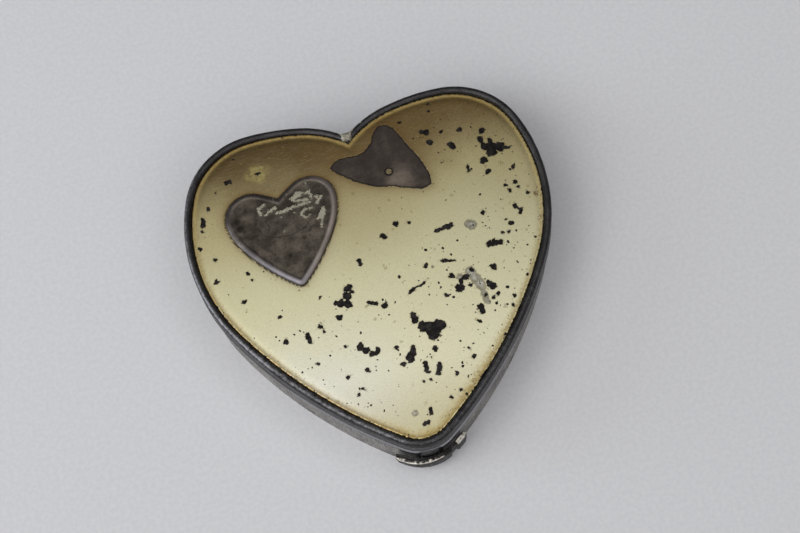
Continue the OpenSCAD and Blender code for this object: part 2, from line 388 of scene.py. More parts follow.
def aged_lacquer(m, tone):
    """Amber and brown grit beside the edge, most of it at the point, and stains round the applied hearts."""
    edge = m.attr("edge")
    amber = m.range(m.plus(edge, m.times(m.noise(0.5, 4, 0.7), -1.4)), -0.5, 1.0, 0.75, 0.0)
    amber = m.times(amber, m.range(m.noise(1.4, 4, 0.7), 0.3, 0.62, 0.45, 1.0))
    tone = m.mix(amber, tone, rgb(176, 152, 88))
    grit = m.times(m.range(edge, 0.3, 2.2, 1.0, 0.0), m.range(m.noise(2.2, 5, 0.75), 0.56, 0.66))
    tone = m.mix(m.times(grit, 0.7), tone, rgb(112, 84, 42))
    low = m.minus(m.axis("Y"), m.times(m.axis("X"), 0.5))
    point = m.times(m.range(low, TIP_Y + 14.0, TIP_Y + 3.0), m.range(edge, 0.4, 2.9, 1.0, 0.0))
    ochre = m.times(point, m.range(m.noise(1.0, 5, 0.75), 0.36, 0.62, 0.1, 0.7))
    tone = m.mix(ochre, tone, rgb(170, 150, 84))
    brown = m.times(point, m.range(m.noise(1.9, 4, 0.65), 0.58, 0.63, 0.0, 0.85))
    tone = m.mix(brown, tone, rgb(104, 82, 40))
    tone = m.mix(m.attr("halo"), tone, rgb(118, 84, 34))
    pale = m.times(m.attr("pale"), m.range(m.noise(0.9, 4, 0.7), 0.3, 0.6))
    tone = m.mix(pale, tone, rgb(214, 200, 126))
    return m.mix(m.attr("foot"), tone, rgb(38, 28, 18))


def bright_edge(m, tone, right):
    """Thin bright line at the very edge, and the nicks in it, which are losses too."""
    nick = m.noise(1.6, 4, 0.7)
    edge = m.plus(m.attr("edge"), m.centred(m.noise(0.9, 4, 0.7), 0.5))
    line = m.times(m.range(edge, 0.1, 0.3, 1.0, 0.0), m.range(nick, 0.44, 0.56, 1.0, 0.0))
    tone = m.mix(m.times(line, 0.8), tone, m.mix(right, rgb(188, 150, 92), rgb(240, 228, 176)))
    return tone, m.times(m.range(edge, 0.12, 0.3, 1.0, 0.0), m.range(nick, 0.53, 0.57))


def rust(m, tone, fine):
    patchy = m.centred(m.noise(1.5, 5, 0.75), 5.0)
    cover = m.range(m.plus(m.attr("stain"), patchy), 0.35, 1.3)
    colour = m.mix(m.range(fine, 0.35, 0.65), rgb(100, 68, 34), rgb(116, 102, 62))
    return m.mix(m.times(cover, 0.8), tone, colour)


def losses(m, tone, ragged, bitten):
    """Lacquer chipped down to dark metal: the placed marks with ragged outlines, specks, dust and nicks."""
    mark = m.plus(m.attr("loss"), ragged)
    size = m.range(m.plus(m.noise(0.8, 2, 0.5), m.attr("wear")), 0.5, 0.7, 0.0, 0.26)
    speck = m.specks(size, 0.62, 0.05)
    size = m.range(m.plus(m.noise(0.9, 2, 0.5), m.attr("wear")), 0.5, 0.68, 0.0, 0.24)
    dust = m.specks(size, 1.3, 0.07)
    loss = m.most(m.most(m.range(mark, -0.2, -0.12), speck), m.most(dust, bitten))
    tone = m.mix(m.range(mark, -0.5, -0.1, 0.0, 0.3), tone, rgb(110, 92, 56))
    dark = m.mix(m.range(m.noise(0.9, 4, 0.6), 0.4, 0.75), rgb(27, 24, 23), rgb(62, 58, 56))
    return m.mix(loss, tone, dark), loss


def bare_patch(m, tone):
    """Metal under the ornament that came off: a dark outline, cloudy inside, with a painted soft highlight
    beside the rivet.
    """
    edge = m.plus(m.attr("bare"), m.centred(m.noise(1.2, 4, 0.6), 0.7))
    # A painted soft highlight lightens the bare metal beside the rivet.
    light = m.plus(m.times(m.noise(0.3, 4, 0.6), 0.6), m.times(m.attr("patch_highlight"), 0.45))
    plum = m.mix(m.range(light, 0.2, 0.9), rgb(62, 54, 49), rgb(134, 122, 109))
    plum = m.mix(m.range(edge, 0.05, 0.6, 0.9, 0.0), plum, rgb(30, 24, 21))
    plum = m.mix(m.range(m.noise(1.4, 5, 0.7), 0.5, 0.72, 0.0, 0.6), plum, rgb(46, 39, 36))
    plum = m.mix(m.range(m.noise(5.0, 4, 0.7), 0.5, 0.75, 0.0, 0.35), plum, rgb(106, 96, 88))
    plum = m.mix(m.attr("hole"), plum, rgb(18, 14, 12))
    bare = m.range(edge, -0.05, 0.08)
    return m.mix(bare, tone, plum), bare


def smears(m, tone, ragged, loss):
    """Grey smears and drops that stand on the lacquer, brownish along their outlines."""
    edge = m.plus(m.attr("smear"), ragged)
    grey = m.mix(m.range(m.noise(1.3, 5, 0.75), 0.35, 0.65), rgb(112, 108, 96), rgb(192, 190, 180))
    grey = m.mix(m.range(edge, 0.15, 0.85, 0.8, 0.0), grey, rgb(108, 100, 76))
    cover = m.times(m.range(edge, -0.1, 0.3, 0.0, 0.85), m.minus(1.0, loss))
    return m.mix(cover, tone, grey)


def tarnished(name, low, high, worn_and_lit, rough, light, strokes=(1.0, 1.0, 1.0), stroke_scale=2.0, metallic=0.9,
              relief=0.07, painted_shade_height=0.0, patch=1.4):
    """Bare white metal gone grey, mottled, with strokes and brighter worn places, which on the lid's rim are
    mostly a painted highlight, and a painted shade band above a height, where the lid's skirt overhangs the
    base wall.
    """
    m = Mat(name, Specular_IOR_Level=0.5)
    cloud = m.noise(0.22, 5, 0.65)
    spot = m.noise(1.5, 5, 0.7)
    line = m.noise(stroke_scale, 4, 0.65, stretch=strokes)
    tone = m.mix(m.range(cloud, 0.3, 0.7), low, high)
    tone = m.mix(m.range(spot, 0.52, 0.7, 0.0, 0.6), tone, rgb(26, 23, 24))
    tone = m.mix(m.range(line, 0.46, 0.72, 0.0, light), tone, worn_and_lit)
    uneven = m.centred(spot, patch)
    # On the lid's rim, what is mixed in here is mostly a painted highlight, not wear.
    wear = m.range(m.plus(m.attr("wear"), uneven), 0.5 - 0.14 * patch, 0.6 + 0.14 * patch)
    tone = m.mix(wear, tone, worn_and_lit)
    if painted_shade_height:
        # Painted shade: a near-black band high on the base wall, under the lid's skirt, strongest at the
        # front.
        front = m.range(m.axis("Y"), -34.0, -14.0, 1.0, 0.2)
        height = m.plus(m.axis("Z"), m.centred(cloud, 2.0))
        tone = m.mix(m.times(m.range(height, painted_shade_height - 1.2, painted_shade_height + 0.4), front), tone, rgb(24, 21, 20))
    dull = m.range(spot, 0.3, 0.7, rough - 0.06, rough + 0.12)
    m.set(Base_Color=tone, Metallic=metallic, Roughness=m.plus(dull, m.times(wear, -0.08)))
    m.bump(m.plus(m.times(line, 0.7), m.times(spot, 0.6)), 0.5, relief)
    return m.material


def badge_metal():
    """Dark patinated badge with pale flaking residue, and a painted highlight along its rolled edge, bluish
    on the left and warm on the right.
    """
    m = Mat("badge_patina", Specular_IOR_Level=0.5)
    edge = m.attr("edge")
    spot = m.noise(1.8, 5, 0.7)
    tone = m.mix(m.range(m.noise(0.35, 5, 0.6), 0.35, 0.68), rgb(66, 60, 52), rgb(104, 96, 85))
    tone = m.mix(m.range(spot, 0.5, 0.66, 0.0, 0.45), tone, rgb(44, 39, 35))
    tone = m.mix(m.range(m.cells(0.8), 0.06, 0.16, 0.7, 0.0), tone, rgb(30, 26, 24))
    # Painted highlight on the rolled edge, strongest towards the front and the right, and warm on the right.
    rim_highlight = m.times(m.range(edge, 0.5, 1.6, 1.0, 0.0), m.attr("lit"))
    tone = m.mix(m.times(rim_highlight, 0.75), tone, m.mix(m.attr("warm_highlight"), rgb(142, 139, 150), rgb(206, 192, 184)))
    tone = m.mix(m.range(m.attr("deep"), -0.3, 0.5, 0.0, 0.8), tone, rgb(34, 30, 26))
    tone = m.mix(m.range(m.attr("scratch"), -0.16, 0.0, 0.0, 0.5), tone, rgb(36, 31, 28))
    ragged = m.centred(m.noise(2.2, 5, 0.7, distortion=0.8), 2.08)
    flake = m.range(m.plus(m.attr("residue"), ragged), 0.02, 0.1)
    tone = m.mix(flake, tone, m.mix(m.noise(2.6, 4, 0.6), rgb(128, 122, 104), rgb(176, 170, 150)))
    tone = m.mix(m.range(edge, -0.1, 0.12, 1.0, 0.0), tone, rgb(30, 22, 16))
    m.set(Base_Color=tone, Metallic=m.blend(flake, 0.85, 0.1), Roughness=m.blend(flake, 0.4, 0.6))
    m.bump(m.plus(m.times(spot, 0.5), flake), 0.6, 0.07)
    return m.material


def solder_metal():
    """Lumpy pale solder with dark pits."""
    m = Mat("old_solder", Specular_IOR_Level=0.5)
    lump = m.noise(1.3, 5, 0.6)
    tone = m.mix(m.range(lump, 0.35, 0.65), rgb(128, 122, 108), rgb(206, 200, 182))
    tone = m.mix(m.range(m.noise(3.5, 4, 0.7), 0.55, 0.66, 0.0, 0.8), tone, rgb(52, 46, 40))
    m.set(Base_Color=tone, Metallic=0.7, Roughness=m.range(lump, 0.3, 0.7, 0.35, 0.6))
    m.bump(lump, 0.7, 0.15)
    return m.material


def plain_metal(name, colour, shade, rough):
    """Bright metal for pins, rivets and the spring: fine scratches and dull spots."""
    m = Mat(name, Specular_IOR_Level=0.5)
    spot = m.noise(2.5, 5, 0.7)
    line = m.noise(3.0, 3, 0.6, stretch=(0.6, 5.0, 5.0))
    tone = m.mix(m.range(spot, 0.45, 0.7, 0.0, 0.8), colour, shade)
    tone = m.mix(m.range(line, 0.5, 0.75, 0.0, 0.35), tone, shade)
    m.set(Base_Color=tone, Metallic=0.95, Roughness=m.range(spot, 0.3, 0.7, rough, rough + 0.2))
    m.bump(line, 0.4, 0.03)
    return m.material


def velvet():
    """Short-pile velvet, rubbed lighter in patches, darker along its seams, stitched channels and tucks."""
    m = Mat("velvet", roughness=0.92, Sheen_Weight=0.85, Sheen_Roughness=0.35,
            Sheen_Tint=rgb(214, 120, 128), Specular_IOR_Level=0.15)
    pile = m.noise(9.0, 3, 0.8)
    nap = m.noise(0.25, 4, 0.6)
    brushed = m.noise(0.9, 4, 0.6, stretch=(1.0, 0.35, 1.0))
    tone = m.mix(m.range(nap, 0.3, 0.7), rgb(92, 16, 26), rgb(126, 30, 40))
    tone = m.mix(m.range(brushed, 0.5, 0.75, 0.0, 0.5), tone, rgb(150, 58, 64))
    tone = m.mix(m.range(pile, 0.35, 0.7, 0.55, 0.0), tone, rgb(48, 6, 14))
    tone = m.mix(m.times(m.attr("seam"), 0.7), tone, rgb(56, 12, 18))
    m.set(Base_Color=tone)
    m.bump(m.plus(pile, m.times(brushed, 0.5)), 0.6, 0.12)
    return m.material


# ---------------------------------------------------------------- camera, floor and light

def camera():
    """Standing over the point of the heart, leaning to the left."""
    cam = bpy.data.cameras.new("camera")
    cam.lens, cam.sensor_width = 99, 36
    cam.clip_start, cam.clip_end = 0.01, 10
    ob = bpy.data.objects.new("camera", cam)
    bpy.context.scene.collection.objects.link(ob)
    right = Vector((0.9677, -0.2418, -0.0715)).normalized()
    up = Vector((0.2504, 0.8887, 0.3841))
    back = right.cross(up).normalized()
    turn = Matrix((right, back.cross(right), back)).transposed().to_4x4()
    turn.translation = Vector((-9.4, -174.0 + MID_Y, 426.2)) * MM
    ob.matrix_world = turn
    bpy.context.scene.camera = ob


def area(name, at, size, power, colour=(1, 1, 1)):
    """Rectangular light that faces the box. Places and sizes are in metres."""
    light = bpy.data.lights.new(name, "AREA")
    light.shape, light.size, light.size_y = "RECTANGLE", size[0], size[1]
    light.energy, light.color = power, colour
    ob = bpy.data.objects.new(name, light)
    bpy.context.scene.collection.objects.link(ob)
    ob.location = at
    ob.rotation_mode = "QUATERNION"
    ob.rotation_quaternion = (-Vector(at)).to_track_quat("-Z", "Y")


def floor():
    """Plain pale cloth, flat and wide."""
    half = 900
    corners = [(-half, -half, 0), (half, -half, 0), (half, half, 0), (-half, half, 0)]
    ob = mesh("floor", corners, [(0, 1, 2, 3)])
    m = Mat("floor_cloth", roughness=0.95)
    weave = m.noise(1.1, 3, 0.5)
    m.set(Base_Color=m.mix(m.range(weave, 0.3, 0.7), rgb(208, 208, 211), rgb(214, 214, 216)))
    ob.data.materials.append(m.material)


def studio():
    """A dim sky with a bright ring round a direction above the point, and three soft lights."""
    scene = bpy.context.scene
    scene.view_settings.view_transform = "Standard"
    world = bpy.data.worlds.new("studio")
    world.use_nodes = True
    scene.world = world
    t = world.node_tree
    sky = t.nodes["Background"]
    co = t.nodes.new("ShaderNodeTexCoord")
    dot = t.nodes.new("ShaderNodeVectorMath")
    dot.operation = "DOT_PRODUCT"
    dot.inputs[1].default_value = Vector((-0.12, -0.36, 0.93)).normalized()
    t.links.new(co.outputs["Generated"], dot.inputs[0])
    shade = t.nodes.new("ShaderNodeValToRGB")
    ramp = shade.color_ramp
    ramp.interpolation = "EASE"
    ramp.elements[0].color = (0.07, 0.07, 0.075, 1)
    ramp.elements[1].color = (0.85, 0.85, 0.86, 1)
    ramp.elements.new(0.55).color = (0.045, 0.045, 0.048, 1)
    ramp.elements.new(0.79).color = (1.3, 1.3, 1.31, 1)
    t.links.new(dot.outputs["Value"], shade.inputs[0])
    t.links.new(shade.outputs[0], sky.inputs[0])
    sky.inputs[1].default_value = 1.0
    area("softbox", (-0.42, -0.20, 0.62), (0.4, 0.5), 1.3, (1.0, 0.99, 0.98))
    area("window", (-0.75, 0.10, 0.30), (0.4, 0.4), 1.6, (0.88, 0.94, 1.0))
    area("fill", (0.7, -0.5, 0.5), (0.6, 0.5), 0.35)


# ---------------------------------------------------------------- lid

LID = Heart(LID_ARCS, TIP_Y, 0.36)


def lid_rim(metal):
    """Bead, crease, skirt with a flared lower edge, and the ledge inside, in one strip."""
    p0, out = LID.loop(0), LID.outward()
    dent = ripple(p0, 9, 3) * 0.05 + ripple(p0, 2.2, 8) * 0.018
    wave = ripple(p0, 14, 21) * 0.05
    front = smooth(-p0[:, 1], 8, 26)
    nib = smooth(np.abs(p0[:, 0]), 1.5, 2.3)
    flare = 0.02 + 0.08 * front * nib + ripple(p0, 3, 40) * 0.02
    profile = []

    def row(d, z, wear=0.0):
        profile.append([np.full(LID.n, v, float) for v in (d, z, wear)])

    # skirt, from its flared lower edge up to the crease under the bead; the third values are a painted
    # highlight on the flare's lip and on the skirt towards the front
    row(1.12, 10.42)
    row(1.42 + flare, 10.40, 0.4 + 0.45 * front)
    row(1.48 + flare, 10.52, 0.45 + 0.5 * front * nib)
    row(1.47 + flare * 0.9, 10.78, 0.3 + 0.5 * front * nib)
    row(1.41 + flare * 0.3, 11.1, 0.66 * front)
    row(1.40 + wave * 0.4, 11.45, 0.4 * front)
    row(1.38 + wave * 0.6, 12.0)
    row(1.38 + wave * 0.5, 12.8)
    row(1.38 + wave * 0.2, 13.2)
    for d, z in ((1.30, 13.42), (1.13, 13.52), (1.22, 13.62)):
        row(d, z)
    # bead, with a painted highlight on its outer half along the left flank and a weaker one on the right, and
    # its top painted lighter where it faces the front, towards the point
    bead_d, bead_z, bead_r = 0.81, 14.41, 0.78
    forward = -out[:, 1]
    side = 0.56 * smooth(-out[:, 0], 0.1, 0.8) * smooth(p0[:, 1] - MID_Y, -27, -12)
    side = np.maximum(side + 0.2 * smooth(out[:, 0], 0.5, 1), 0.28 * smooth(forward, 0.1, 0.8))
    top = (0.5 - 0.04 * (p0[:, 0] > -4)) * smooth(forward, 0.0, 0.6)
    for degrees in (*range(-48, 169, 18), 185):
        a = radians(degrees)
        r = bead_r + dent * (0.6 + 0.4 * sin(a))
        worn_and_lit = side * max(0.0, sin(a + 0.6)) * (0.7 if cos(a) < 0 else 1.0)
        worn_and_lit = np.maximum(worn_and_lit, top * min(1.0, max(0.0, 1.6 * sin(a))))
        row(bead_d + r * cos(a), bead_z + r * sin(a), worn_and_lit)
    # down inside the bead, round the ledge that carries the panel, and down behind the skirt
    inner_side = [(0.02, 14.0), (0.0, 13.5), (-1.0, 13.5), (-1.0, 13.0), (0.85, 13.0), (0.86, 12.4),
                  (0.88, 11.2), (0.95, 10.6)]
    for d, z in inner_side:
        row(d, z)
    rings = [np.c_[LID.loop(np.minimum(d, BEAD_W)), z] for d, z, _ in profile]
    verts, faces = band(rings)
    ob = mesh("lid_bead_and_skirt", verts, faces, {"wear": np.concatenate([w for _, _, w in profile])}, 60)
    ob.data.materials.append(metal)
    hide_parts("lid_rim")
    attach(ob, "lid")


# Places on the lid, in millimetres from its middle. BARE is an outline. Each row of the other lists is a
# mark: a spot (x, y, radius) or a stroke (x1, y1, x2, y2, radius). Noise makes the outlines ragged, and a
# radius near 0 leaves only a few flecks.
BARE = [
    (-5, 25.3), (-3.8, 26.7), (-2, 27.1), (1, 26.8), (2.9, 27.3), (4.7, 29), (5.3, 30.8), (7, 32.3),
    (8.7, 32), (10, 30.8), (11.7, 26.7), (13.5, 22.9), (14.7, 18.5), (14.4, 16.1), (12.6, 15.7),
    (10.3, 16.3), (7.6, 17.5), (5.9, 18), (3.8, 18.5), (1.8, 19.5), (0, 20.5), (-2.9, 22.9), (-4.6, 24.6),
]

LOSSES = [
    # right lobe
    (27.5, 25.2, 0.6), (26.7, 23.4, 0.6), (27.3, 21.5, 30.4, 20.6, 0.8), (28.2, 20, 1.0),
    (30.9, 20.4, 32.1, 20, 0.25), (28.6, 22.8, 28.3, 20.2, 0.35), (26.2, 18.5, 0.7), (26.4, 15.8, 0.42),
    (22.5, 17, 22.7, 18, 0.28), (20.3, 24, 20.9, 23.1, 0.42), (15.5, 28.3, 16.3, 28, 0.5),
    (16.4, 25.6, 0.5), (19.4, 27.3, 0.3), (18.1, 34.3, 0.25), (18.1, 32.7, 0.25), (11.4, 31.7, 0.2),
    (23.1, 26.7, 0.35), (31.6, 15.5, 0.3), (29.1, 11.9, 0.36), (31.1, 11.9, 0.3), (29.6, 10.5, 0.36),
    (31.5, 10.9, 0.2), (33.2, 8.9, 0.25), (23, 7.2, 0.4), (20.3, 4.9, 0.0), (29.7, 6.7, 0.35),
    (30.6, 5.7, 0.4), (30.2, 4.9, 0.2), (28, 3.4, 0.3), (27, 4.4, 0.15), (25.8, 1.8, 0.3), (27, 1.7, 0.3),
    (22.3, 0.1, 24.8, -0.1, 0.42), (23.4, 0.5, 0.4),
    # middle right
    (12.9, 5.9, 13.6, 5.95, 0.42), (15, 6.1, 15.9, 6.15, 0.5), (13, 5.9, 16, 6.1, 0.25), (2.1, 7.5, 0.5),
    (5.2, 9.6, 0.42), (7.7, 9.2, 0.22), (-3.9, 2.8, -3.9, 3.8, 0.28), (3, -1.9, 0.25), (8.7, -1.1, 0.28),
    (11.3, -0.8, 14.6, -1.6, 0.02), (12.6, -0.9, 13.2, -1.1, 0.15), (22, -5, 0.55), (13.3, -4.7, 0.42),
    (14.2, -7.6, 0.8), (16, -5.6, 0.6), (17.4, -4.5, 0.3), (14.9, -6.4, 0.5), (16.4, -7.6, 0.3),
    (20.2, -8.1, 20.8, -9, 0.55), (17.3, -12.6, 17.2, -13.7, 0.45), (20.3, -11.4, 0.3), (21.3, -10.8, 0.22),
    (24.3, -12.3, 0.28), (23.7, -14, 0.2), (11.1, -8.4, 0.3), (18.8, -10.6, 0.3), (16.2, -15.6, 0.2),
    (25.6, -9, 0.2),
    # curved scratch
    (3.9, -6.3, 4.9, -5.3, 0.08), (4.9, -5.3, 7, -4.9, 0.04), (7, -4.9, 8.6, -3.9, -0.02),
    # middle left
    (-7.6, -1.6, 0.7), (-8.2, -3.2, 0.75), (-9.7, -4.4, 0.75), (-8.4, -5, 0.7), (-10.8, -4, 0.35),
    (-7.1, -2.5, 0.3), (-10.8, -7.3, 0.55), (-13.7, -2.1, 0.25), (-14.9, -8.1, 0.36), (-14.4, -9.4, 0.3),
    (-17.8, -9.4, -17.6, -10.7, 0.4), (-1.4, -7.1, 0.52), (-4.2, -5.8, -2.9, -6.5, 0.24),
    (-22.3, -9.6, 0.32), (-22.4, -4, 0.24), (-11, -13.6, 0.2), (-17.3, -15.7, 0.2), (-12, -20.2, 0.32),
    (-7.9, -19.8, 0.32), (-28.6, 1.2, 0.3),
    # lower middle
    (-8.1, -14.3, 0.5), (-7.2, -15.6, 0.6), (-6, -16.6, 0.6), (-5, -16.2, 0.45),
    (-7.9, -13.9, -8.3, -15, 0.3), (-1.2, -16.7, 0.32), (3.7, -10.7, 3.9, -12.1, 0.48),
    (5, -13.8, 8.6, -14.4, 0.8), (6.7, -15.6, 1.35), (5, -13.4, 0.7), (8.2, -13.6, 0.5), (6.3, -18.9, 0.42),
    (1.9, -17.6, 1.6, -18.9, 0.42), (0.9, -19.4, 0.8), (-0.8, -20.4, 0.42), (3.5, -21.3, 3.5, -23.2, 0.3),
    (6.2, -22.4, 5.7, -24.1, 0.36), (9, -25.2, 0.28), (2.3, -25, 0.18), (3.8, -25, 0.18),
    (13.2, -22.6, 0.36), (12.6, -20.6, 0.18), (8.9, -28.6, 0.34), (6.8, -29.7, 0.22), (1.6, -29.5, 0.16),
    (2.1, -31, 2.1, -32, 0.22), (0, -33.9, 1, -33.5, 0.26), (-10.3, -23.0, -9.1, -23.9, 0.0),
    (-10.3, -23.0, -10.9, -24.6, 0.02), (5, -20.4, 0.22), (11, -26.4, 0.18),
    # left side and left lobe
    (-26.6, 28.2, -25.8, 28.2, 0.3), (-29.2, 26.6, 0.18), (-24, 33, 0.22), (-31.6, 31.5, 0.4),
    (-31.5, 23.3, 0.25), (-33, 21.3, -33.3, 19.8, 0.36), (-33.6, 18.6, 0.3), (-35, 15.2, 0.26),
    (-32.5, 11.9, 0.34), (-33.2, 7, 0.38), (-26.6, 7, 0.18), (-26, 5.5, 0.18),
    (-20.2, 28.4, -19.4, 28.4, 0.1), (-15.8, 1.8, 0.14),
    # chip at the right edge
    (13.6, -28, 14.7, -26.6, 0.35), (15.2, -26.4, 17.2, -24.9, 0.3), (19.6, -22.6, 0.2),
]
SMEARS = [
    (19.9, 5.3, 1.3), (-1, -31.2, 0.8), (17, -4.6, 18.5, -8, 1.1), (18.6, -8, 18.7, -12, 0.7),
    (14.9, -5.2, 0.9), (10, -1.6, 0.3), (2.6, 13, 0.3), (8.8, 11.5, 0.3), (-9.5, -28.8, 0.3),
    (22, -13.5, 0.3),
]
STAINS = [
    (34.7, 8.3, 1.3), (29.2, 16.8, 0.8), (27, 18, 0.5), (34, 3, 0.9), (-20.5, 13, 0.3), (-12, 6, 0.8),
    (17, -13, 0.9), (-12.6, -9.8, 0.5), (30.6, 24.2, 0.5),
]


def places(marks):
    """Marks moved from the lid's middle to the frame, and brought forward a little where the dome is high."""
    moved = []
    for mark in marks:
        mark = list(mark)
        for k in range(1, max(2, len(mark) - 1), 2):  # its y values
            rise = max(0.0, DOME_RISE - (mark[k - 1] ** 2 + mark[k] ** 2) / (2 * DOME_R))
            mark[k] += MID_Y - DOME_SHIFT * rise
        moved.append(tuple(mark))
    return moved


def strokes(points, radius):
    """One mark after another, along a line of points."""
    return [(*a, *b, radius) for a, b in zip(points, points[1:])]


def away(points, x, y):
    """Distance of each point from a place on the lid."""
    return np.hypot(points[:, 0] - x, points[:, 1] - y - MID_Y)


BADGE = Heart(BADGE_ARCS, 0.0, 0.25)


def badge_loop(d):
    """The badge's outline, offset by d, in its place on the lid."""
    p = BADGE.loop(d)
    c, s = cos(BADGE_LEAN), sin(BADGE_LEAN)
    return np.c_[BADGE_AT[0] + c * p[:, 0] - s * p[:, 1], BADGE_AT[1] + s * p[:, 0] + c * p[:, 1]]


def panel_wear(verts, edge):
    """How much of each kind of wear the lid panel has at each point."""
    flat = verts[:, :2]
    x, y = flat.T
    badge = badge_loop(0)
    to_badge = edge_distance(flat, badge)
    off_badge = np.where(inside(flat, badge), 0, 1)
    patch = np.array(places(BARE))
    bare = edge_distance(flat, patch) * np.where(inside(flat, patch), 1, -1)
    halo = np.exp(-to_badge / 0.8) * off_badge
    halo *= 0.45 + 0.55 * smooth(y, BADGE_AT[1] + 14, BADGE_AT[1] + 26)
    halo += 0.5 * np.exp(-np.abs(bare) / 1.1) * (bare < 0)
    halo += 0.22 * smooth(-y + MID_Y, 16, 33) * smooth(-edge, -2.6, 0.2)
    halo += 0.14 * smooth(-away(flat, -2, 12), -16, -2)
    wear = 0.07 * smooth(x, 6, 22) + 0.05 * smooth(-y, -10, 12) - 0.05
    wear -= 0.12 * (np.abs(x + 2) < 9) * smooth(y, 2, 8)
    pale = 0.55 * smooth(ripple(verts, 2.0, 31) * 0.5 - away(flat, -19.8, 28.4), -3.0, -1.6)
    values = {"edge": edge, "wear": wear, "pale": pale,
              "halo": np.clip(halo, 0, 1), "bare": np.clip(bare, -2, 2),
              "foot": 0.9 * smooth(-to_badge, -0.34, -0.1) * off_badge,
              # Painted soft highlight on the bare patch, beside the rivet.
              "patch_highlight": smooth(-away(flat, 8.8, 18.9), -4.5, 0.0),
              "hole": smooth(-away(flat, 6.6, 21), -1.1, -0.8)}
    for key, marks in (("loss", LOSSES), ("stain", STAINS), ("smear", SMEARS)):
        values[key] = np.clip(spots(flat, places(marks)), -2, 2)
    return values


def lid_panel(material):
    """Domed sheet with a shallow groove inside its edge, and its wear as values on its points."""
    groove = {-0.05: -0.12, -0.13: -0.02, -0.25: 0.0, -0.4: -0.01, -0.6: -0.04, -0.85: -0.06, -1.1: -0.055,
              -1.4: -0.03, -1.8: -0.01, -2.3: 0.0, -3.0: 0.0}
    rings = [np.c_[LID.loop(-0.1), np.full(LID.n, 13.55)]]
    to_edge = [np.zeros(LID.n)]
    for d, dz in groove.items():
        p = LID.loop(d)
        rings.append(np.c_[p, dome(p) + dz])
        to_edge.append(np.full(LID.n, -d - 0.05))
    top = fill(LID.loop(-3.0), 0.34)
    verts, faces = capped(rings, top, dome)
    ob = mesh("gilt_panel", verts, faces, panel_wear(verts, spread(to_edge, len(verts), 3.0)))
    ob.data.materials.append(material)
    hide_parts("lid_panel")
    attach(ob, "lid")


RESIDUE = [
    (-21.4, 20.1, -20, 20.7, 0.3), (-21.5, 20.1, -21.2, 18.9, 0.38), (-20.2, 18.3, -18.9, 19.3, 0.3),
    (-19.2, 19, -18, 19.4, 0.42), (-17.8, 18.3, -16.2, 18.1, 0.35), (-16.2, 18.2, -14.2, 18.6, 0.42),
    (-14.2, 18.6, -10.8, 18.9, 0.32), (-13.9, 20.4, -12.6, 21.1, 0.7), (-12.4, 21.2, -10.4, 21, 0.36),
    (-10.4, 21.2, -10.2, 19.9, 0.38), (-13.4, 19.7, -11.2, 19.6, 0.36), (-9, 19.6, 0.45),
    (-8.3, 19.4, -9.4, 18.3, 0.42), (-13, 16.7, -12, 17.5, 0.38), (-12, 17.5, -10.5, 17.3, 0.32),
    (-12.9, 16.3, -12.2, 15.4, 0.28), (-12.2, 15.4, -11.3, 15.9, 0.2), (-8.4, 16.4, -9.3, 14.8, 0.58),
    (-8.8, 15.9, -9.9, 14.7, 0.42), (-9, 14.6, -9.6, 12.8, 0.32), (-18, 21.4, 0.2), (-15, 21.6, 0.22),
    (-17.2, 17.1, 0.24), (-14.2, 17.3, 0.26), (-10.7, 23.1, 0.2), (-17.5, 13.6, -17, 14.1, 0.12),
    (-17.8, 13.2, 0.1), (-15.2, 14.6, 0.1), (-23.1, 21.2, 0.1),
]
DEEP = [
    (-26.3, 18.4, 0.8), (-26.0, 16.6, 0.9), (-25.3, 15.8, 0.5), (-22.6, 16.9, 0.35), (-23.0, 13.2, 0.3),
    (-20.3, 9.2, 0.4), (-17.2, 8.2, 0.55), (-13.6, 11.4, 0.45), (-18.4, 12.6, 0.3), (-12.2, 12.6, 0.3),
    (-24.2, 20.3, 0.25), (-19.3, 13.9, 0.22), (-14.4, 21.3, 0.3),
]


SCRATCHES = [
    *strokes([(-22.4, 15.8), (-21.6, 14), (-19.3, 12.9), (-16, 12.6), (-13, 13.4), (-11.2, 15.2)], 0.06),
    *strokes([(-23.9, 14.4), (-22.9, 14.0), (-22.3, 14.9)], 0.05),
    *strokes([(-20.6, 17.2), (-20.0, 15.4), (-20.8, 14.2)], 0.05),
]


def badge(material):
    """Applied heart: rolled edge, flat field a little lower, flakes of old coating standing on it."""
    rolled_edge = [(0.0, 0.0), (0.02, 0.2), (0.0, 0.4), (-0.1, 0.56), (-0.28, 0.7), (-0.5, 0.82),
                   (-0.75, 0.9), (-1.0, 0.92), (-1.2, 0.89), (-1.35, 0.85)]
    inset, field = rolled_edge[-1]
    base = badge_loop(0)
    rings = [np.c_[base, dome(base) - 0.25]]
    to_edge = [np.full(BADGE.n, -0.3)]
    for d, h in rolled_edge:
        p = badge_loop(d)
        rings.append(np.c_[p, dome(p) + h])
        to_edge.append(np.full(BADGE.n, -d if h > 0.3 else -0.15))
    residue = places(RESIDUE)

    def height(p):
        flakes = smooth(spots(p, residue), -0.1, 0.25) * 0.07
        return dome(p) + field + flakes + ripple(p, 2.2, 5) * 0.03

    verts, faces = capped(rings, fill(badge_loop(inset), 0.26), height)
    flat = verts[:, :2]
    x, y = (flat - np.array(BADGE_AT)).T
    ob = mesh("applied_heart", verts, faces, {
        "edge": spread(to_edge, len(verts), 3.0), "scratch": spots(flat, places(SCRATCHES)),
        "residue": np.clip(spots(flat, residue), -2, 2), "deep": np.clip(spots(flat, places(DEEP)), -2, 2),
        # Where the badge's painted edge highlight turns warm, and how strong it is.
        "warm_highlight": smooth(x, -2, 6),
        "lit": np.clip(0.2 + 0.6 * smooth(-y, -14, 2) + 0.5 * smooth(x, 6, 9), 0, 1)})
    ob.data.materials.append(material)
    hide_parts("heart_badge")
    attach(ob, "lid")


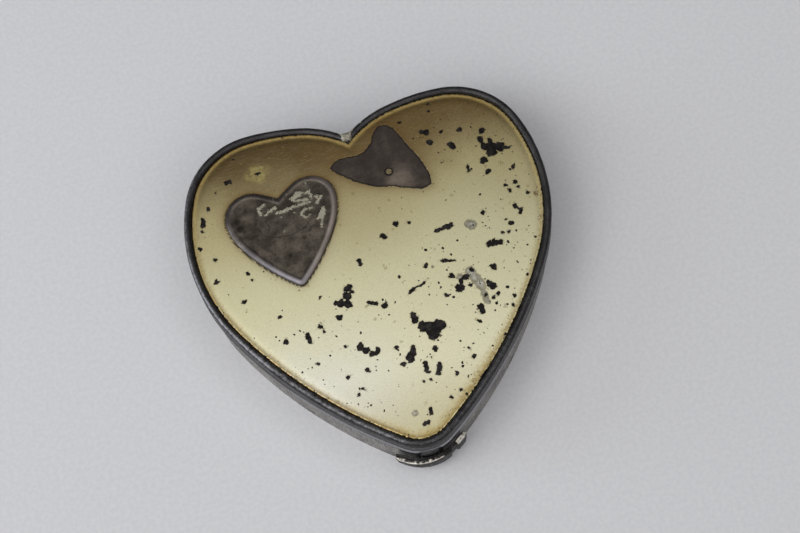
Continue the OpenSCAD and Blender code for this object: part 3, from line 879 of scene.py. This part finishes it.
def cleft_solder(material):
    """Lumpy web of solder that fills the corner of the cleft, laps over the bead and runs out along it."""
    sides, half, bead_z = 20, 5.2, 14.4
    fine = Heart(LID_ARCS, TIP_Y, 0.12)
    line, out = fine.loop(1.15), fine.outward()
    near = (line[:, 1] > MID_Y + 20) & (np.abs(line[:, 0]) < half)
    line, out, side = line[near], out[near], fine.side[near]
    s = np.abs(line[:, 0])
    lump = ripple(line, 0.9, 3) * 0.1 + ripple(line, 0.35, 6) * 0.06
    end = smooth(half - s, 0.0, 0.6)
    core = np.exp(-(s / 0.95) ** 2)
    rings = []
    for k in range(sides):
        a = 2 * pi * k / sides
        bumps = ripple(np.c_[line, np.full(len(line), k * 0.35)], 0.6, 11) * 0.1
        reach = 0.34 + (0.95 if cos(a) < 0 else 1.1) * core + lump + bumps
        rise = 0.62 + 0.52 * core + lump + bumps * 0.6
        p = line + out * (reach * cos(a) * end)[:, None]
        p[:, 0] = side * np.maximum(side * p[:, 0], 0.0)
        rings.append(np.c_[p, bead_z + rise * sin(a) * end])
    ob = mesh("cleft_solder_web", *strip(rings))
    ob.data.materials.append(material)
    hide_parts("cleft_solder")
    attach(ob, "lid")


# ---------------------------------------------------------------- catch

def thumb_lip(material):
    """Lip curled out from a strap at the point, its crest worn bright, with a short ear at its right end."""
    step, left_end, right_end = 0.1, -6.5, 7.9
    fine = Heart(LID_ARCS, TIP_Y, step)
    # s runs along the outline from the point, and grows to the right
    s = np.where(fine.side > 0, fine.s, fine.s - fine.s[-1] - step)
    order = np.argsort(s)
    order = order[(s[order] > left_end) & (s[order] < right_end)]
    s = s[order]
    n = len(s)
    along = np.c_[s, np.zeros(n)]
    ragged = ripple(along, 0.7, 2) * 0.5 + ripple(along, 0.28, 9) * 0.35
    gap = smooth(s, 3.3, 3.8) * smooth(-s, -5.1, -4.7)
    ear = smooth(s, 4.8, 5.3)
    end = smooth(s, left_end, left_end + 0.9) * smooth(-s, -right_end, 0.9 - right_end)
    crest = 2.15 - 0.42 * gap + 0.14 * ear + ragged * 0.05
    crest = 1.7 + (crest - 1.7) * (0.35 + 0.65 * end)
    crest_z = 4.0 + 2.0 * smooth(s, -6.6, 3.0) + 0.1 * ear + ragged * 0.14
    kept = 1 - smooth(s, 1.9, 2.4) * smooth(-s, -5.1, -4.7)
    low = 2.42 + 0.15 * (1 - end)
    top = 6.74 - 1.5 * (1 - smooth(s, -6.6, -4.2)) - 0.6 * (1 - smooth(-s, -8.0, -6.6))
    neck = np.minimum(np.maximum(crest_z + 0.4, 4.4), top - 0.3)
    # offset from the outline, height and wear, round the section
    profile = [
        (1.27, low, 0), (1.6, low, 0), (crest - 0.16, low + 0.12, 0), (crest - 0.02, low + 0.4, 0),
        (crest, crest_z - 0.4, 0), (crest + 0.02, crest_z - 0.1, 0.3), (crest - 0.04, crest_z + 0.08, 0.95),
        (crest - 0.14, crest_z + 0.12, 0.62), (crest - 0.4, crest_z + 0.2, 0.46),
        (1.5, crest_z + 0.28, 0.46 + 0.3 * ear), (1.42, neck, 0.1), (1.44, top - 0.24, 0.0), (1.4, top, 0.2),
        (1.34, top + 0.04, 0.1), (1.27, top - 0.04, 0)]
    line, out = fine.loop(0)[order], fine.outward()[order]
    rings, wear = [], []
    for k, (d, z, worn_and_lit) in enumerate(profile):
        rings.append(np.c_[line + out * np.full(n, d)[:, None], np.full(n, z)])
        patchy = 0.3 * ripple(np.c_[s, np.full(n, 0.35 * k)], 0.5, 17)
        wear.append(worn_and_lit * kept * (0.9 + 0.3 * ear + patchy))
    ob = mesh("curled_thumb_lip", *strip(rings), {"wear": np.concatenate(wear)}, 70)
    ob.data.materials.append(material)
    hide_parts("thumb_lip")
    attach(ob, "catch")


# ---------------------------------------------------------------- linings

def flat_pad(name, node, body, up, material):
    """Heart-shaped velvet pad: rolled edge, a stitched channel inside it, a crowned and puckered middle."""
    heart = Heart(LID_ARCS, TIP_Y, 0.7)
    low, high = heights(node)
    base, rise = (low, high - low) if up else (high, low - high)
    # offset from the outline, share of the pad's height, and how dark the seam is there
    profile = [(-0.98, 0.03, 0.5), (-0.91, 0.3, 0.0), (-0.95, 0.55, 0.0), (-1.15, 0.8, 0.0),
               (-1.55, 0.93, 0.0), (-2.05, 0.9, 0.2), (-2.4, 0.76, 1.0), (-2.75, 0.84, 0.4), (-3.4, 0.9, 0.0)]
    tucks = 0.5 + 0.5 * np.sin(heart.s * 2 * pi / 3.1 + ripple(np.c_[heart.s, heart.s * 0], 9, 4) * 2)
    rings, seam = [], []
    for d, h, dark in profile:
        share = h - 0.10 * tucks * (0.3 < h) * (d > -2.8)
        rings.append(np.c_[heart.loop(d), base + rise * share])
        seam.append(np.full(heart.n, dark) + 0.35 * tucks * (d < -1.6))
    inner = heart.loop(profile[-1][0])

    def height(p):
        crown = smooth(edge_distance(p, inner), -0.5, 9.0) * 0.12
        return base + rise * (0.86 + crown + ripple(p, 5.0, 6) * 0.045 + ripple(p, 1.6, 2) * 0.02)

    verts, faces = capped(rings, fill(inner, 0.6), height)
    ob = mesh(name, verts, faces, {"seam": np.clip(spread(seam, len(verts), 0.0), 0, 1)}, 80)
    ob.data.materials.append(material)
    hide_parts(node)
    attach(ob, body)


def wall_pad(material):
    """Velvet strip round the inside of the wall, open at the point, drawn in a little where it is glued."""
    heart = Heart(LID_ARCS, TIP_Y, 0.5)
    line, out = heart.loop(0), heart.outward()
    at_point = (np.abs(heart.loop(-0.5)[:, 0]) < 6.2) & (line[:, 1] < MID_Y)
    line, out, s = line[~at_point], out[~at_point], heart.s[~at_point]
    n = len(s)
    low, high = heights("wall_lining")
    tucks = 0.5 + 0.5 * np.sin(s * 2 * pi / 4.3 + ripple(np.c_[s, s * 0], 11, 4) * 2)
    # offset from the outline, height, and how dark the seam is there
    profile = [
        (-0.28, low + 0.05, 0.6), (-0.28, low + 4.0, 0.0), (-0.28, high - 0.1, 0.3), (-0.4, high, 0.0),
        (-0.62, high - 0.04, 0.0), (-0.74, high - 0.3, 0.0), (-0.72 - 0.03 * tucks, high - 1.1, 0.0),
        (-0.7 + 0.06 * tucks, low + 5.1, 0.0), (-0.72 + 0.07 * tucks, low + 3.0, 0.1),
        (-0.75 + 0.05 * tucks, low + 1.2, 0.2), (-0.7, low + 0.2, 0.8), (-0.5, low + 0.02, 1.0)]
    rings = [np.c_[line + out * np.full(n, d)[:, None], np.full(n, z)] for d, z, _ in profile]
    seam = np.concatenate([np.full(n, dark) for _, _, dark in profile])
    ob = mesh("wall_velvet", *strip(rings), {"seam": seam}, 80)
    ob.data.materials.append(material)
    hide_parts("wall_lining")
    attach(ob, "base")


# ---------------------------------------------------------------- CAD pieces that show as they are

def finish_nodes(material, nodes, width):
    """A finish and slightly rounded edges."""
    for node in nodes:
        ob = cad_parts[node]
        ob.data.materials.clear()
        ob.data.materials.append(material)
        if width:
            bevel = ob.modifiers.new("edges", "BEVEL")
            bevel.width, bevel.segments, bevel.angle_limit = width * MM, 2, radians(35)


camera()
floor()
studio()
# On the lid's rim, the worn colour is mostly a painted bluish highlight from the window light at the left.
rim_metal = tarnished("lid_tarnish", rgb(40, 38, 38), rgb(62, 60, 60), worn_and_lit=rgb(150, 149, 153),
                      rough=0.36, strokes=(6.0, 6.0, 0.5), stroke_scale=1.0, light=0.22, metallic=0.75,
                      patch=0.4)
# The base's dark band above 6.7 mm is painted shade under the lid's skirt.
base_metal = tarnished("base_tarnish", rgb(122, 119, 116), rgb(168, 165, 160), worn_and_lit=rgb(214, 211, 205),
                       rough=0.42, strokes=(5.0, 5.0, 0.4), stroke_scale=1.0, light=0.6, relief=0.14,
                       painted_shade_height=6.7)
lip_metal = tarnished("lip_tarnish", rgb(20, 18, 17), rgb(42, 38, 35), worn_and_lit=rgb(206, 200, 190),
                      rough=0.45, light=0.1, metallic=0.75, patch=0.8)
brass = plain_metal("aged_brass", rgb(150, 136, 104), rgb(70, 58, 38), 0.35)
steel = plain_metal("drawn_steel", rgb(176, 176, 178), rgb(92, 88, 86), 0.28)
tinned = tarnished("tinned_sheet", rgb(128, 128, 124), rgb(160, 160, 154), worn_and_lit=rgb(196, 196, 190),
                   rough=0.42, light=0.3)
pile = velvet()
lid_rim(rim_metal)
lid_panel(gilt())
badge(badge_metal())
cleft_solder(solder_metal())
thumb_lip(lip_metal)
flat_pad("tray_velvet", "floor_lining", "base", True, pile)
flat_pad("lid_velvet", "lid_lining", "lid", False, pile)
wall_pad(pile)
finish_nodes(base_metal, ["base_wall", "base_floor"], 0.0)
finish_nodes(base_metal, ["base_hinge_left", "base_hinge_right", "lid_hinge_left", "lid_hinge_right"], 0.08)
finish_nodes(rim_metal, ["lid_keeper", "catch_studs"], 0.05)
finish_nodes(steel, ["hinge_pin_left", "hinge_pin_right", "catch_spring"], 0.04)
finish_nodes(brass, ["badge_rivets", "lost_badge_rivet"], 0.04)
finish_nodes(tinned, ["lid_backing"], 0.0)
